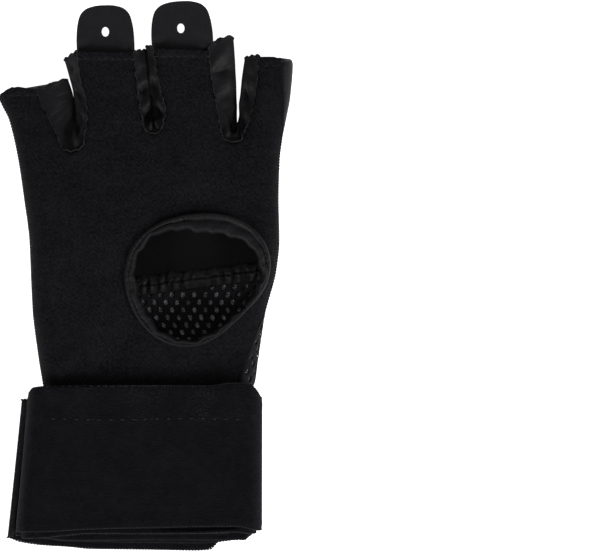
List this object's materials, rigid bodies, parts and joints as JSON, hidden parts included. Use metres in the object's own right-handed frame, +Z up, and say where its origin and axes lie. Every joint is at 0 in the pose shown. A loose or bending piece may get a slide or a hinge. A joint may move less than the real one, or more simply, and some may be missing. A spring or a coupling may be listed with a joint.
{
  "type": "boxing inner glove",
  "caption": "Fingerless padded inner glove lying palm up, with a bound thumb hole, finger pull tabs and a long wrist band wound flat.",
  "frame": {"origin": "under the middle of the glove, on the surface it lies on", "axes": "+Y towards the fingers, +X towards the thumb side, +Z up, out of the palm"},
  "size_m": [0.108, 0.202, 0.0217],
  "materials": {
    "knit": "matte black knit with a fine diagonal twill",
    "air_mesh": "black air mesh with small oval holes in staggered rows",
    "smooth_cloth": "smooth black cloth with a low sheen",
    "tab_rubber": "smooth black satin rubber",
    "woven_band": "matte black woven band with fine cross ribs"
  },
  "bodies": {
    "root": {"palm_panel": "knit", "back_mesh_panel": "air_mesh", "knuckle_panel": "smooth_cloth", "fourchette_pinky_ring": "smooth_cloth", "fourchette_ring_middle": "smooth_cloth", "fourchette_middle_index": "smooth_cloth", "thumb_binding": "smooth_cloth", "ring_tab": "tab_rubber", "middle_tab": "tab_rubber", "wrist_wrap": "woven_band"}
  },
  "joints": []
}
